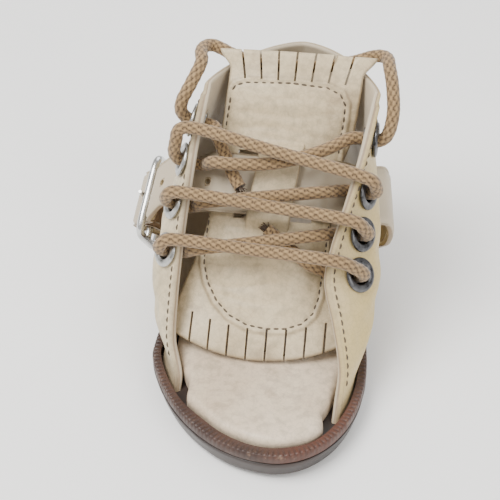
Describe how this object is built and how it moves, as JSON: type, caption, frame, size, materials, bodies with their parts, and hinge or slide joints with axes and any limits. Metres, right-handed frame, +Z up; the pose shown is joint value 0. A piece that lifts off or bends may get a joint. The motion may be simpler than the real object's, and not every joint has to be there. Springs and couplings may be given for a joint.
{
  "type": "infant orthopaedic boot",
  "caption": "Small cream-leather orthopaedic boot with open toe, laced throat over a fringed tongue, buckled instep strap, heel window and flat welted sole.",
  "frame": {"origin": "on the ground under the middle of the sole", "axes": "-Y towards the toe, +Y towards the heel, +X towards the inner side of the foot, +Z up, sole flat on the plane z = 0"},
  "size_m": [0.0774, 0.12, 0.0775],
  "materials": {
    "upper": "smooth cream leather, slightly yellowed, raw edges",
    "tongue": "soft creased cream leather",
    "strap": "cream leather, brown flesh side",
    "insole": "smooth matt lining leather",
    "sole": "dark stained and waxed edge",
    "welt": "brown leather, scuffed rim",
    "buckle": "bright plated",
    "eyelet_left": "silver grey, worn",
    "eyelet_right": "dark nickel",
    "lace": "round braided cord"
  },
  "bodies": {
    "root": {"outsole": "sole", "welt": "welt", "insole": "insole", "upper": "upper", "tongue": "tongue", "strap": "strap", "buckle_strap": "strap", "buckle_frame": "buckle", "buckle_prong": "buckle", "eyelet_left_1": "eyelet_left", "eyelet_left_2": "eyelet_left", "eyelet_left_3": "eyelet_left", "eyelet_left_4": "eyelet_left", "eyelet_right_1": "eyelet_right", "eyelet_right_2": "eyelet_right", "eyelet_right_3": "eyelet_right", "eyelet_right_4": "eyelet_right", "lace_bar_1": "lace", "lace_bar_2": "lace", "lace_bar_3": "lace", "lace_cross_1": "lace", "lace_cross_2": "lace", "lace_cross_3": "lace", "lace_loop": "lace", "lace_end_1": "lace", "lace_end_2": "lace"}
  },
  "joints": []
}
